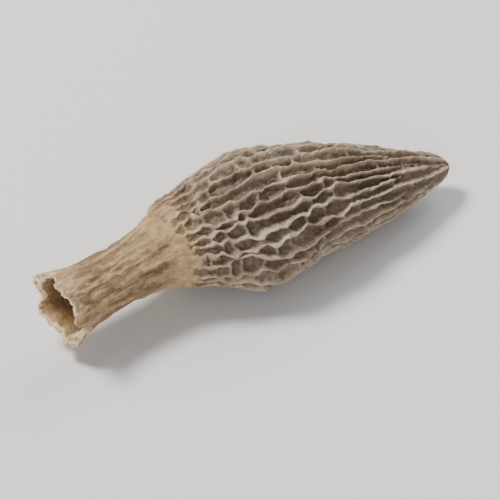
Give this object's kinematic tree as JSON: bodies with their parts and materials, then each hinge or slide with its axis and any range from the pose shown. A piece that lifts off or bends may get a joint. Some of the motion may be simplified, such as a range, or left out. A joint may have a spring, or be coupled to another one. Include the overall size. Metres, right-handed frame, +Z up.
{
  "type": "dried morel mushroom",
  "caption": "Dried morel mushroom lying on its side: a hollow conical cap with a net of wavy ridges round sunken pits, on a furrowed stem with a torn, open cut end.",
  "frame": {"origin": "on the surface that the mushroom lies on, under the middle of its bounding box", "axes": "+X runs from the cut end of the stem to the tip of the cap, +Z is up as the mushroom lies, and +Y is the side that the cap bends away from"},
  "size_m": [0.0482, 0.015, 0.013],
  "materials": {
    "dried_flesh": "dry, matt and wrinkled: grey brown pits, paler ridges and a tan stem"
  },
  "bodies": {
    "root": {"morel_fruit_body": "dried_flesh"}
  },
  "joints": []
}
